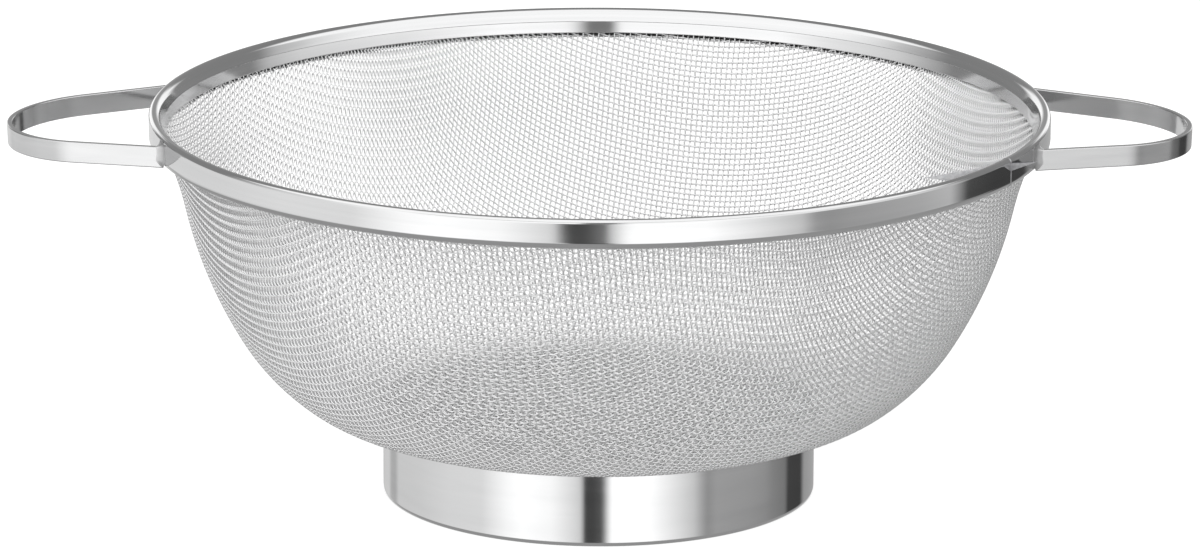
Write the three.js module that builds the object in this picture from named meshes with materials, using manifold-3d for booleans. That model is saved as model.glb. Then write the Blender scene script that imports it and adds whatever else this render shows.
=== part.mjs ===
// Footed wire-mesh strainer with two loop handles, in millimetres, +Z up.
// The origin is the centre of the circle that the foot stands on; the handles lie along X.
import * as THREE from 'three';
import { mergeVertices } from 'three/addons/utils/BufferGeometryUtils.js';
import Module from 'manifold-3d';

// Foot ring: a sheet band with its bottom edge turned in and its top edge turned out.
const FOOT_RADIUS = 57.9;
const FOOT_HEIGHT = 21.0;
const FOOT_SHEET = 0.8;
const FOOT_LIP_WIDTH = 3.5;
const FOOT_LIP_CORNER = 1.0;
const FOOT_FLANGE_WIDTH = 2.75;
const FOOT_FLANGE_CORNER = 0.8;

// Spot welds between the foot's flange and the bowl's base.
const SPOT_WELD_COUNT = 12;
const SPOT_WELD_RADIUS = 0.75;
const SPOT_WELD_THICKNESS = 0.3;

// Mesh bowl: a flat base, three arcs that steepen, and an arc that flares out into the rim.
const MESH_THICKNESS = 0.85;
const HEEL_RADIUS = 34.7;
const HEEL_SLOPE = THREE.MathUtils.degToRad(36.5);
const FLANK_RADIUS = 58.0;
const FLANK_SLOPE = THREE.MathUtils.degToRad(58.5);
const WALL_RADIUS = 116.0;
const WALL_SLOPE = THREE.MathUtils.degToRad(77.5);
const FLARE_RADIUS = 80.0;
const FLARE_HEIGHT = 21.2;

// Openings in the bowl: a coarse grid that stands in for the weave and leaves as much of each pitch open.
const WEAVE_PITCH = 1.5;
const OPENINGS_AROUND = 24;
const OPENING_ROWS_BASE = 2;
const OPENING_ROWS_WALL = 5;

// Rim band: a strip folded over the mesh's edge, in section a channel with a short leg inside the bowl.
const RIM_SHEET = 0.6;
const RIM_REACH = 1.45;
const RIM_RISE = 3.3;
const RIM_BAND_HEIGHT = 8.0;
const RIM_LOWER_CORNER = 1.9;
const RIM_UPPER_CORNER = 1.1;
const RIM_ROLL_RADIUS = 2.2;
const RIM_INNER_SLOPE = THREE.MathUtils.degToRad(65);
const RIM_CREASE_DROP = 3.25;
const RIM_LEG_DROP = 6.15;
const RIM_SEAM_ANGLE = THREE.MathUtils.degToRad(-27);
const RIM_SEAM_WIDTH = 0.6;

// Core wire: the hoop that the rim is folded round.
const CORE_WIRE_DIAMETER = 1.2;

// Handles: a flat bar on edge, bent to a round end; its legs spread towards the rim and it droops a little.
const BAR_HEIGHT = 5.6;
const BAR_THICKNESS = 1.5;
const BAR_EDGE = 0.5;
const HANDLE_REACH = 37.8;
const HANDLE_END_RADIUS = 28.85;
const HANDLE_LEG_SPREAD = THREE.MathUtils.degToRad(19.9);
const HANDLE_DROOP = THREE.MathUtils.degToRad(2);

// Handle welds: a bead over the top and down both sides of each leg's end.
const BEAD_WIDTH = 0.7;
const BEAD_LENGTH = 1.6;
const BEAD_FOOT_RISE = 1.0;

// Room left between pieces that are welded or clamped to each other.
const SEAT_GAP = 0.3;

// Facets: around the object, along a handle and round small sections; a corner gets two for each step.
const AROUND = 60;
const HANDLE_STEPS = 28;
const COLUMN_SIDES = 120;
const CORE_WIRE_SIDES = 6;
const SPOT_WELD_SIDES = 8;
const CORNER_STEPS = 1;

// Points closer than this are one point.
const SAME_POINT = 1e-5;

const wasm = await Module();
wasm.setup();

const strainer = new THREE.Group();
strainer.name = 'mesh_strainer';

const polished = { color: 0xd4d5d6, roughness: 0.12, metalness: 1.0 };
const satin = { color: 0xc4c6c8, roughness: 0.3, metalness: 1.0 };
const wire = { color: 0xbfc1c3, roughness: 0.38, metalness: 1.0 };
const welded = { color: 0xa9abad, roughness: 0.45, metalness: 1.0 };

function addPiece(name, geometry, finish) {
  const piece = new THREE.Mesh(geometry, new THREE.MeshStandardMaterial(finish));
  piece.name = name;
  strainer.add(piece);
  return piece;
}

// A path's points, without those that repeat the one before, as happens where two arcs meet.
function pathPoints(path, steps) {
  const points = path.getPoints(steps);
  return points.filter((point, i) => i === 0 || point.distanceTo(points[i - 1]) > SAME_POINT);
}

// A closed outline in (radius, height), turned about Z.
function turned(outline) {
  const geometry = new THREE.LatheGeometry(outline, AROUND);
  geometry.rotateX(Math.PI / 2);
  return geometry;
}

// The outline of a sheet whose outer face follows a path, with its thickness on the path's left side.
function sheetOutline(face, thickness) {
  const back = face.map((point, i) => {
    const before = face[Math.max(i - 1, 0)];
    const after = face[Math.min(i + 1, face.length - 1)];
    const into = point.clone().sub(before).normalize();
    const out = after.clone().sub(point).normalize();
    if (i === 0) into.copy(out);
    if (i === face.length - 1) out.copy(into);
    const along = into.clone().add(out).normalize();
    const mitre = thickness / along.dot(into);
    return new THREE.Vector2(point.x - along.y * mitre, point.y + along.x * mitre);
  });
  return [...face, ...back.reverse()];
}

// What is left of a piece outside a round column about Z, so that the piece ends on a round wall.
function cutToColumn(geometry, radius) {
  const column = new THREE.CylinderGeometry(radius, radius, 2 * (rimTop + radius), COLUMN_SIDES);
  column.rotateX(Math.PI / 2);
  const [piece, cutter] = [geometry, column].map((shape) => {
    const bare = shape.clone().deleteAttribute('normal').deleteAttribute('uv');
    const { attributes, index } = mergeVertices(bare, SAME_POINT);
    const vertProperties = attributes.position.array;
    const triVerts = Uint32Array.from(index.array);
    return new wasm.Manifold(new wasm.Mesh({ numProp: 3, vertProperties, triVerts }));
  });
  const rest = piece.subtract(cutter).getMesh();
  const cut = new THREE.BufferGeometry();
  cut.setAttribute('position', new THREE.BufferAttribute(rest.vertProperties, 3));
  cut.setIndex(new THREE.BufferAttribute(rest.triVerts, 1));
  cut.computeVertexNormals();
  return cut;
}

// The point of an arc where the bowl's outside has a slope.
function arcPoint(centre, radius, slope) {
  return new THREE.Vector2(centre.x + radius * Math.sin(slope), centre.y - radius * Math.cos(slope));
}

// Mesh bowl's line. It lies on the foot's flange, and each arc goes on from the last one without a corner.
const baseHeight = FOOT_HEIGHT + SPOT_WELD_THICKNESS;
const flatRadius = FOOT_RADIUS + FOOT_FLANGE_WIDTH;
const bowlArcs = [];
let flareFoot = new THREE.Vector2(flatRadius, baseHeight);
let slopeBelow = 0;
for (const [radius, slope] of [
  [HEEL_RADIUS, HEEL_SLOPE], [FLANK_RADIUS, FLANK_SLOPE], [WALL_RADIUS, WALL_SLOPE],
]) {
  const centre = arcPoint(flareFoot, -radius, slopeBelow);
  bowlArcs.push({ centre, radius, from: slopeBelow, length: radius * (slope - slopeBelow) });
  flareFoot = arcPoint(centre, radius, slope);
  slopeBelow = slope;
}
const meshTop = flareFoot.y + FLARE_HEIGHT;
const rimTop = meshTop + RIM_RISE;
const rimBottom = rimTop - RIM_BAND_HEIGHT;

// The flare bends the other way, so its arc has a negative radius. Its length grows with the height reached.
const flareCentre = arcPoint(flareFoot, FLARE_RADIUS, WALL_SLOPE);
function flareLength(height) {
  const slope = Math.acos(Math.cos(WALL_SLOPE) + (height - flareFoot.y) / FLARE_RADIUS);
  return FLARE_RADIUS * (WALL_SLOPE - slope);
}
const flareStart = bowlArcs.reduce((sum, arc) => sum + arc.length, flatRadius);
bowlArcs.push({ centre: flareCentre, radius: -FLARE_RADIUS, from: WALL_SLOPE, length: flareLength(meshTop) });

// Radius of the flare at a height, on the face that lies inset from the bowl's outside.
function flareRadius(height, inset) {
  return flareCentre.x - Math.sqrt((FLARE_RADIUS + inset) ** 2 - (height - flareCentre.y) ** 2);
}

// A point of the face that lies inset from the bowl's outside, by its distance along that outside.
function bowlPoint(distance, inset) {
  if (distance <= flatRadius) return new THREE.Vector2(distance, baseHeight + inset);
  let rest = distance - flatRadius;
  const arc = bowlArcs.find(({ length }, i) => {
    if (rest <= length || i === bowlArcs.length - 1) return true;
    rest -= length;
    return false;
  });
  return arcPoint(arc.centre, arc.radius - inset, arc.from + rest / arc.radius);
}

// Rows of openings, by distance along the bowl: rows in the base inside the foot, and rows up to the rim.
const openShare = 1 - MESH_THICKNESS / 2 / WEAVE_PITCH;
const basePitch = (FOOT_RADIUS - FOOT_LIP_WIDTH) / (OPENING_ROWS_BASE + openShare / 2);
const wallPitch = (flareStart + flareLength(rimBottom) - flatRadius) / OPENING_ROWS_WALL;
const openingRows = [];
for (let row = 1; row <= OPENING_ROWS_BASE; row += 1) {
  const ribs = OPENINGS_AROUND / 2 ** (OPENING_ROWS_BASE - row);
  openingRows.push({ middle: row * basePitch, half: (openShare * basePitch) / 2, ribs });
}
for (let row = 0; row < OPENING_ROWS_WALL; row += 1) {
  const middle = flatRadius + (row + 0.5) * wallPitch;
  openingRows.push({ middle, half: (openShare * wallPitch) / 2, ribs: OPENINGS_AROUND });
}

// Hoops that part the bowl into strips, from the round opening in the base's middle to the top edge.
// A strip has the ribs that its lower hoop gives, with openings between them, or none and is closed.
const hoops = [{ distance: (openShare * basePitch) / 2 }, { distance: flatRadius }];
for (const { middle, half, ribs } of openingRows) {
  hoops.push({ distance: middle - half, ribs }, { distance: middle, ribs }, { distance: middle + half });
}
hoops.push({ distance: flareStart + flareLength(meshTop) });
hoops.sort((a, b) => a.distance - b.distance);

// Columns: each opening's pitch round the bowl has one column for its rib and two for the opening.
const openingTurn = (2 * Math.PI) / OPENINGS_AROUND;
const ribHalf = ((1 - openShare) * openingTurn) / 2;
const columnStarts = [-ribHalf, ribHalf, openingTurn / 2];
const columns = OPENINGS_AROUND * columnStarts.length;

function isFilled(strip, column) {
  if (strip < 0 || strip >= hoops.length - 1) return false;
  const { ribs } = hoops[strip];
  const pitch = Math.floor(column / columnStarts.length);
  return !ribs || (column % columnStarts.length === 0 && pitch % (OPENINGS_AROUND / ribs) === 0);
}

// The bowl's shell: both faces of each filled cell, and a wall on each side with no filled cell beyond it.
function bowlShell() {
  const positions = [];
  for (const { distance } of hoops) {
    for (let column = 0; column < columns; column += 1) {
      const pitch = Math.floor(column / columnStarts.length);
      const angle = pitch * openingTurn + columnStarts[column % columnStarts.length];
      for (const inset of [0, MESH_THICKNESS]) {
        const { x: radius, y: height } = bowlPoint(distance, inset);
        positions.push(radius * Math.cos(angle), radius * Math.sin(angle), height);
      }
    }
  }
  const outside = (strip, column) => 2 * (strip * columns + (column % columns));
  const triangles = [];
  const addQuad = (a, b, c, d) => triangles.push(a, b, c, a, c, d);
  for (let strip = 0; strip < hoops.length - 1; strip += 1) {
    for (let column = 0; column < columns; column += 1) {
      if (!isFilled(strip, column)) continue;
      const corners = [
        outside(strip, column), outside(strip, column + 1),
        outside(strip + 1, column + 1), outside(strip + 1, column),
      ];
      const beyond = [
        [strip - 1, column], [strip, (column + 1) % columns],
        [strip + 1, column], [strip, (column + columns - 1) % columns],
      ];
      addQuad(...corners);
      addQuad(...corners.map((corner) => corner + 1).reverse());
      corners.forEach((from, side) => {
        const to = corners[(side + 1) % corners.length];
        if (!isFilled(...beyond[side])) addQuad(to, from, from + 1, to + 1);
      });
    }
  }
  const shell = new THREE.BufferGeometry();
  shell.setAttribute('position', new THREE.Float32BufferAttribute(positions, 3));
  shell.setIndex(triangles);
  shell.computeVertexNormals();
  return shell;
}
addPiece('mesh_bowl', bowlShell(), wire);

// Foot ring, from the inner end of its bottom lip up to the outer end of its top flange.
const flangeUnderside = FOOT_HEIGHT - FOOT_SHEET;
const footFace = new THREE.Path();
footFace.moveTo(FOOT_RADIUS - FOOT_LIP_WIDTH, 0);
footFace.lineTo(FOOT_RADIUS - FOOT_LIP_CORNER, 0);
footFace.absarc(FOOT_RADIUS - FOOT_LIP_CORNER, FOOT_LIP_CORNER, FOOT_LIP_CORNER, -Math.PI / 2, 0, false);
footFace.absarc(
  FOOT_RADIUS + FOOT_FLANGE_CORNER, flangeUnderside - FOOT_FLANGE_CORNER, FOOT_FLANGE_CORNER,
  Math.PI, Math.PI / 2, true,
);
footFace.lineTo(flatRadius, flangeUnderside);
const footOutline = sheetOutline(pathPoints(footFace, CORNER_STEPS), FOOT_SHEET);
addPiece('foot_ring', turned([...footOutline, footOutline[0].clone()]), polished);

// Spot welds, flat nuggets that fill the room between the flange and the bowl's base.
const spotWeldCircle = flatRadius - SPOT_WELD_RADIUS - SEAT_GAP;
const spotWeldMiddle = FOOT_HEIGHT + SPOT_WELD_THICKNESS / 2;
for (let i = 0; i < SPOT_WELD_COUNT; i += 1) {
  const angle = ((i + 0.5) / SPOT_WELD_COUNT) * 2 * Math.PI;
  const nugget = new THREE.CylinderGeometry(
    SPOT_WELD_RADIUS, SPOT_WELD_RADIUS, SPOT_WELD_THICKNESS, SPOT_WELD_SIDES,
  );
  nugget.rotateX(Math.PI / 2);
  const weld = addPiece(`foot_spot_weld_${i + 1}`, nugget, welded);
  weld.position.set(spotWeldCircle * Math.cos(angle), spotWeldCircle * Math.sin(angle), spotWeldMiddle);
}

// Rim band. Its face runs from the bottom lip, up the outer wall, over the top and down the inner leg.
const rimRadius = flareRadius(meshTop, 0) + RIM_REACH;
const rollCentre = new THREE.Vector2(rimRadius - RIM_UPPER_CORNER, rimTop - RIM_ROLL_RADIUS);
const innerLegStart = arcPoint(rollCentre, -RIM_ROLL_RADIUS, RIM_INNER_SLOPE);
const creaseHeight = rimTop - RIM_CREASE_DROP;
const creaseRadius = innerLegStart.x - (innerLegStart.y - creaseHeight) / Math.tan(RIM_INNER_SLOPE);
const innerLegEnd = rimTop - RIM_LEG_DROP;
const innerLegInset = MESH_THICKNESS + SEAT_GAP + RIM_SHEET;
const rimFace = new THREE.Path();
rimFace.moveTo(flareRadius(rimBottom + RIM_SHEET, 0) + SEAT_GAP, rimBottom);
rimFace.lineTo(rimRadius - RIM_LOWER_CORNER, rimBottom);
rimFace.absarc(
  rimRadius - RIM_LOWER_CORNER, rimBottom + RIM_LOWER_CORNER, RIM_LOWER_CORNER, -Math.PI / 2, 0, false,
);
rimFace.absarc(
  rimRadius - RIM_UPPER_CORNER, rimTop - RIM_UPPER_CORNER, RIM_UPPER_CORNER, 0, Math.PI / 2, false,
);
rimFace.absarc(
  rollCentre.x, rollCentre.y, RIM_ROLL_RADIUS, Math.PI / 2, Math.PI / 2 + RIM_INNER_SLOPE, false,
);
rimFace.lineTo(creaseRadius, creaseHeight);
rimFace.lineTo(flareRadius(innerLegEnd, innerLegInset), innerLegEnd);
const rimOutline = sheetOutline(pathPoints(rimFace, CORNER_STEPS), RIM_SHEET);

// A circle arc about Z at a radius and height; its angle runs evenly from start to end.
class HoopArc extends THREE.Curve {
  constructor(radius, height, start, end) {
    super();
    Object.assign(this, { radius, height, start, end });
  }

  getPoint(t, target = new THREE.Vector3()) {
    const angle = THREE.MathUtils.lerp(this.start, this.end, t);
    return target.set(this.radius * Math.cos(angle), this.radius * Math.sin(angle), this.height);
  }
}

// The rim's section carried along a hoop arc. On such a path the section's x points down and its y inwards.
function rimSweep(start, end, steps) {
  const section = rimOutline.map((point) => new THREE.Vector2(rimBottom - point.y, rimRadius - point.x));
  const path = new HoopArc(rimRadius, rimBottom, start, end);
  return new THREE.ExtrudeGeometry(new THREE.Shape(section), {
    steps, bevelEnabled: false, extrudePath: path,
  });
}
const seamHalf = RIM_SEAM_WIDTH / 2 / rimRadius;
const slitHalf = (RIM_SEAM_WIDTH / 2 + SEAT_GAP) / rimRadius;
const bandEnd = RIM_SEAM_ANGLE + 2 * Math.PI - slitHalf;
addPiece('rim_band', rimSweep(RIM_SEAM_ANGLE + slitHalf, bandEnd, AROUND), polished);
addPiece('rim_seam_weld', rimSweep(RIM_SEAM_ANGLE - seamHalf, RIM_SEAM_ANGLE + seamHalf, 1), welded);

// Core wire, lying under the rim's roll against the outer wall, above the mesh's edge.
const coreRadius = CORE_WIRE_DIAMETER / 2;
const coreInset = RIM_SHEET + SEAT_GAP + coreRadius;
const coreHoop = new THREE.TorusGeometry(rimRadius - coreInset, coreRadius, CORE_WIRE_SIDES, AROUND);
addPiece('rim_core_wire', coreHoop, satin).position.z = rollCentre.y;

// Handle: the bar's middle line, from the end of one leg round the loop to the end of the other.
const barMiddle = rimBottom + BAR_HEIGHT / 2;
const loopRadius = HANDLE_END_RADIUS - BAR_THICKNESS / 2;
const loopCentre = rimRadius + HANDLE_REACH - HANDLE_END_RADIUS;
const loopSweep = Math.PI / 2 - HANDLE_LEG_SPREAD;
const legDirection = new THREE.Vector2(Math.cos(HANDLE_LEG_SPREAD), -Math.sin(HANDLE_LEG_SPREAD));
const legTangent = new THREE.Vector2(
  loopCentre + loopRadius * Math.cos(loopSweep), loopRadius * Math.sin(loopSweep),
);
const seatRadius = rimRadius + SEAT_GAP;
const legAlong = legTangent.dot(legDirection);
const legToSeat = legAlong - Math.sqrt(legAlong ** 2 - legTangent.lengthSq() + seatRadius ** 2);
const legSeat = legTangent.clone().addScaledVector(legDirection, -legToSeat);

// Legs and beads run on into the rim's wall by a bead's full width, and are then cut to that wall.
const runOn = BAR_THICKNESS + 2 * (SEAT_GAP + BEAD_WIDTH);
const legLength = legToSeat + runOn;

class HandleLoop extends THREE.Curve {
  // Straight leg, round end, straight leg, by length along the bar; the legs run on into the rim's wall.
  getPoint(t, target = new THREE.Vector3()) {
    const half = legLength + loopRadius * loopSweep;
    const fromTip = (2 * t - 1) * half;
    const side = Math.sign(fromTip);
    const distance = Math.abs(fromTip);
    const turn = Math.min(distance / loopRadius, loopSweep);
    const leg = Math.max(distance - loopRadius * loopSweep, 0);
    const x = loopCentre + loopRadius * Math.cos(turn) - leg * legDirection.x;
    const y = side * (loopRadius * Math.sin(turn) - leg * legDirection.y);
    return target.set(x, y, barMiddle);
  }
}

// The bar's section with rounded edges: x runs over its height and y over its thickness.
function barSection() {
  const x = BAR_HEIGHT / 2 - BAR_EDGE;
  const y = BAR_THICKNESS / 2 - BAR_EDGE;
  const section = new THREE.Shape();
  section.absarc(x, y, BAR_EDGE, 0, Math.PI / 2, false);
  section.absarc(-x, y, BAR_EDGE, Math.PI / 2, Math.PI, false);
  section.absarc(-x, -y, BAR_EDGE, Math.PI, 1.5 * Math.PI, false);
  section.absarc(x, -y, BAR_EDGE, 1.5 * Math.PI, 2 * Math.PI, false);
  return section;
}

// Weld bead: an arch over the leg's end, extruded along the leg from inside the rim's wall.
function beadArch() {
  const inner = BAR_THICKNESS / 2 + SEAT_GAP;
  const outer = inner + BEAD_WIDTH;
  const foot = BEAD_FOOT_RISE - BAR_HEIGHT / 2;
  const top = BAR_HEIGHT / 2 + SEAT_GAP;
  const arch = new THREE.Shape();
  arch.moveTo(-outer, foot);
  arch.lineTo(-inner, foot);
  arch.lineTo(-inner, top);
  arch.lineTo(inner, top);
  arch.lineTo(inner, foot);
  arch.lineTo(outer, foot);
  arch.absarc(outer - BEAD_WIDTH, top, BEAD_WIDTH, 0, Math.PI / 2, false);
  arch.absarc(BEAD_WIDTH - outer, top, BEAD_WIDTH, Math.PI / 2, Math.PI, false);
  const depth = BEAD_LENGTH + runOn;
  const bead = new THREE.ExtrudeGeometry(arch, { depth, bevelEnabled: false, curveSegments: CORNER_STEPS });
  return bead.translate(0, 0, -runOn);
}

const up = new THREE.Vector3(0, 0, 1);
for (const [side, across] of [['left', -1], ['right', 1]]) {
  const loop = new THREE.ExtrudeGeometry(barSection(), {
    steps: HANDLE_STEPS, curveSegments: CORNER_STEPS, bevelEnabled: false, extrudePath: new HandleLoop(),
  });
  loop.translate(-legSeat.x, 0, -barMiddle).rotateY(HANDLE_DROOP).translate(legSeat.x, 0, barMiddle);
  const handle = addPiece(`handle_${side}`, cutToColumn(loop, seatRadius), polished);
  handle.rotation.z = across < 0 ? Math.PI : 0;

  for (const [end, towards] of [['front', -1], ['rear', 1]]) {
    const outward = new THREE.Vector3(across * legDirection.x, towards * legDirection.y, 0);
    const sideways = up.clone().cross(outward);
    const place = new THREE.Matrix4().makeBasis(sideways, up, outward);
    place.setPosition(across * legSeat.x, towards * legSeat.y, barMiddle);
    const bead = beadArch().applyMatrix4(place);
    addPiece(`handle_weld_${side}_${end}`, cutToColumn(bead, seatRadius), welded);
  }
}

export default strainer;
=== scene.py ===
import bpy
import numpy as np
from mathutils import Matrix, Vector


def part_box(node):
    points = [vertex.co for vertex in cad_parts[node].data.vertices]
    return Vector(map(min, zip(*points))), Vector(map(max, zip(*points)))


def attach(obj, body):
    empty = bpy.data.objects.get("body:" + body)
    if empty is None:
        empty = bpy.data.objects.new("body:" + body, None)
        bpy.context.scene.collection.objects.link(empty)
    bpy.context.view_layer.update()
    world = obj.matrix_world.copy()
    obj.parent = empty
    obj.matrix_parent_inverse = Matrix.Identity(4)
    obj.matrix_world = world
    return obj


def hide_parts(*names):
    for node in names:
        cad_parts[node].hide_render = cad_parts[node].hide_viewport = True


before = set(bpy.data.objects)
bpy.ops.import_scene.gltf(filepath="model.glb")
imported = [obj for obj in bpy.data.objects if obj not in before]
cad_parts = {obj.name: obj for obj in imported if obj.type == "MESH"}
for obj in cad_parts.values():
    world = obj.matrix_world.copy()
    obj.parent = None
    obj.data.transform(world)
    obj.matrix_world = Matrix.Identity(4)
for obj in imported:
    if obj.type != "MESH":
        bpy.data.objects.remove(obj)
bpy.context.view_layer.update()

# Foot ring: one band of polished stainless sheet that the strainer stands on. Its bottom edge is turned
# in as a lip, its top edge is turned out as a flange, and the bowl's flat base is spot-welded to the flange.
MM = 0.001
FOOT_SHEET = 0.8 * MM
FOOT_LIP = 3.5 * MM
FOOT_FLANGE = 2.75 * MM
FOOT_LIP_CORNER = 1.0 * MM
FOOT_FLANGE_CORNER = 0.8 * MM
FOOT_POINTS_AROUND = 256
EDGE_BULGE = 0.25
STEEL_SHADES = ((0.555, 0.557, 0.56, 1), (0.6, 0.601, 0.603, 1))
STEEL_ROUGHNESS = (0.05, 0.11)
NOISE_SPAN = (0.3, 0.7)


def arc(centre, radius, start, end, steps=7):
    """Points of an arc in (radius, height): its centre plus radius times (cos a, sin a), a in degrees."""
    a = np.radians(np.linspace(start, end, steps))
    return np.stack([centre[0] + radius * np.cos(a), centre[1] + radius * np.sin(a)], axis=1)


def left_of(line, distance):
    """A line moved to its left: each point goes square to the mean of the steps before and after it."""
    step = np.diff(line, axis=0)
    step /= np.linalg.norm(step, axis=1, keepdims=True)
    before, after = np.vstack([step[:1], step]), np.vstack([step, step[-1:]])
    along = before + after
    along /= np.linalg.norm(along, axis=1, keepdims=True)
    reach = distance / np.sum(along * before, axis=1, keepdims=True)
    return line + reach * np.stack([-along[:, 1], along[:, 0]], axis=1)


def held(line, hold=0.12 * MM):
    """A line with two more points close to the ends of each long step, so that flat stretches shade flat."""
    step = np.diff(line, axis=0)
    length = np.linalg.norm(step, axis=1, keepdims=True)
    points = np.stack([line[:-1], line[:-1] + step * hold / length, line[1:] - step * hold / length], axis=1)
    kept = np.repeat(length > 5 * hold, 3, axis=1)
    kept[:, 0] = True
    return np.vstack([points[kept], line[-1:]])


def sheet_section(face, thickness):
    """Closed outline of a bent sheet: half an edge, its face, an edge, its back, and the other half edge.

    A cut edge is half an ellipse that bulges by a share of the thickness past the ends of face and back.
    """
    face = held(face)
    back = left_of(face, thickness)
    turn = np.radians([36, 72, 108, 144])[:, None]

    def edge(start, end, outwards):
        """Half an ellipse: the middle, plus half the way across times cos a, plus the bulge times sin a."""
        middle, across = (start + end) / 2, (start - end) / 2
        return middle + across * np.cos(turn) + EDGE_BULGE * thickness * outwards * np.sin(turn)

    last = (face[-1] - face[-2]) / np.linalg.norm(face[-1] - face[-2])
    first = (face[0] - face[1]) / np.linalg.norm(face[0] - face[1])
    near = edge(back[0], face[0], first)
    return np.vstack([near[2:], face, edge(face[-1], back[-1], last), back[::-1], near[:2]])


def hoop(section, angles):
    """A section turned about the Z axis: (r, h) becomes (r cos a, r sin a, h) at each angle."""
    r, h = section[None, :, 0], section[None, :, 1]
    a = np.asarray(angles)[:, None]
    return np.stack([r * np.cos(a), r * np.sin(a), h + 0 * a], axis=-1)


def skin(rows, columns, joined):
    """Four-sided faces over a grid of points whose columns close on themselves, and their corners' places.

    The rows close too where they are joined. Otherwise each end is capped by a ladder of faces, which runs
    from one half of the outline to the other.
    """
    i, j = np.meshgrid(np.arange(rows if joined else rows - 1), np.arange(columns), indexing="ij")
    row = np.stack([i, i + 1, i + 1, i], axis=-1).reshape(-1, 4)
    column = np.stack([j, j, j + 1, j + 1], axis=-1).reshape(-1, 4)
    if not joined:
        rung = np.arange(columns // 2 - 1)
        ladder = np.stack([rung, rung + 1, columns - 2 - rung, columns - 1 - rung], axis=-1)
        row = np.vstack([row, 0 * ladder, 0 * ladder + rows - 1])
        column = np.vstack([column, ladder[:, ::-1], ladder])
    faces = (row % rows) * columns + column % columns
    return faces, np.stack([row / rows, column / columns], axis=-1)


def add_piece(name, points, faces, places, material, slot, *nodes, sharp=35):
    """Makes a mesh of points and four-sided faces that rides on the strainer and stands for its CAD nodes.

    The corners' places on the surface, from 0 to 1 both ways, are the piece's own map.
    """
    mesh = bpy.data.meshes.new(name)
    mesh.vertices.add(len(points))
    mesh.vertices.foreach_set("co", np.ascontiguousarray(points, dtype=np.float32).ravel())
    mesh.loops.add(faces.size)
    mesh.loops.foreach_set("vertex_index", faces.astype(np.int32).ravel())
    mesh.polygons.add(len(faces))
    mesh.polygons.foreach_set("loop_start", np.arange(0, faces.size, 4, dtype=np.int32))
    mesh.uv_layers.new(name="OFBake").data.foreach_set("uv", places.astype(np.float32).ravel())
    mesh.update(calc_edges=True)
    mesh.validate()
    mesh.shade_smooth()
    if sharp:
        mesh.set_sharp_from_angle(angle=np.radians(sharp))
    mesh.materials.append(material)
    piece = bpy.data.objects.new(name, mesh)
    bpy.context.scene.collection.objects.link(piece)
    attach(piece, "root")
    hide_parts(*nodes)


def metal(name, shades, roughness, scale, detail, bump, grain="OFBake", dull=None):
    """Bare metal whose shade, gloss and very low relief follow one noise pattern.

    The noise lies on the piece's own map, or on its Object coordinates where grain is None, and is stretched
    by scale, so that a long map gives fine lines along the metal. Shades and roughness each run between two
    values. Where the map's second axis lies between the first two values of dull, the third is added to the
    roughness, because the metal is not polished there.
    """
    material = bpy.data.materials.new(name)
    material.use_nodes = True
    tree = material.node_tree
    shader = tree.nodes["Principled BSDF"]
    shader.inputs["Metallic"].default_value = 1.0
    if grain:
        place = tree.nodes.new("ShaderNodeUVMap")
        place.uv_map = grain
        where = place.outputs["UV"]
    else:
        where = tree.nodes.new("ShaderNodeTexCoord").outputs["Object"]
    stretch = tree.nodes.new("ShaderNodeMapping")
    stretch.inputs["Scale"].default_value = scale
    noise = tree.nodes.new("ShaderNodeTexNoise")
    noise.inputs["Scale"].default_value = 1.0
    noise.inputs["Detail"].default_value = detail
    shade = tree.nodes.new("ShaderNodeValToRGB")
    shade.color_ramp.elements[0].color, shade.color_ramp.elements[1].color = shades
    shade.color_ramp.elements[0].position, shade.color_ramp.elements[1].position = NOISE_SPAN
    gloss = tree.nodes.new("ShaderNodeMapRange")
    gloss.inputs["To Min"].default_value, gloss.inputs["To Max"].default_value = roughness
    relief = tree.nodes.new("ShaderNodeBump")
    relief.inputs["Strength"].default_value, relief.inputs["Distance"].default_value = bump
    tree.links.new(where, stretch.inputs["Vector"])
    tree.links.new(stretch.outputs["Vector"], noise.inputs["Vector"])
    tree.links.new(noise.outputs["Fac"], shade.inputs["Fac"])
    tree.links.new(noise.outputs["Fac"], gloss.inputs["Value"])
    tree.links.new(noise.outputs["Fac"], relief.inputs["Height"])
    tree.links.new(shade.outputs["Color"], shader.inputs["Base Color"])
    tree.links.new(gloss.outputs["Result"], shader.inputs["Roughness"])
    tree.links.new(relief.outputs["Normal"], shader.inputs["Normal"])
    if dull:
        start, end, added = dull
        axes = tree.nodes.new("ShaderNodeSeparateXYZ")
        within, finish = (tree.nodes.new("ShaderNodeMath") for _ in range(2))
        within.operation, finish.operation = "COMPARE", "MULTIPLY_ADD"
        within.inputs[1].default_value, within.inputs[2].default_value = (start + end) / 2, (end - start) / 2
        finish.inputs[1].default_value = added
        tree.links.new(where, axes.inputs["Vector"])
        tree.links.new(axes.outputs["Y"], within.inputs[0])
        tree.links.new(within.outputs["Value"], finish.inputs[0])
        tree.links.new(gloss.outputs["Result"], finish.inputs[2])
        tree.links.new(finish.outputs["Value"], shader.inputs["Roughness"])
    return material


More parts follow.
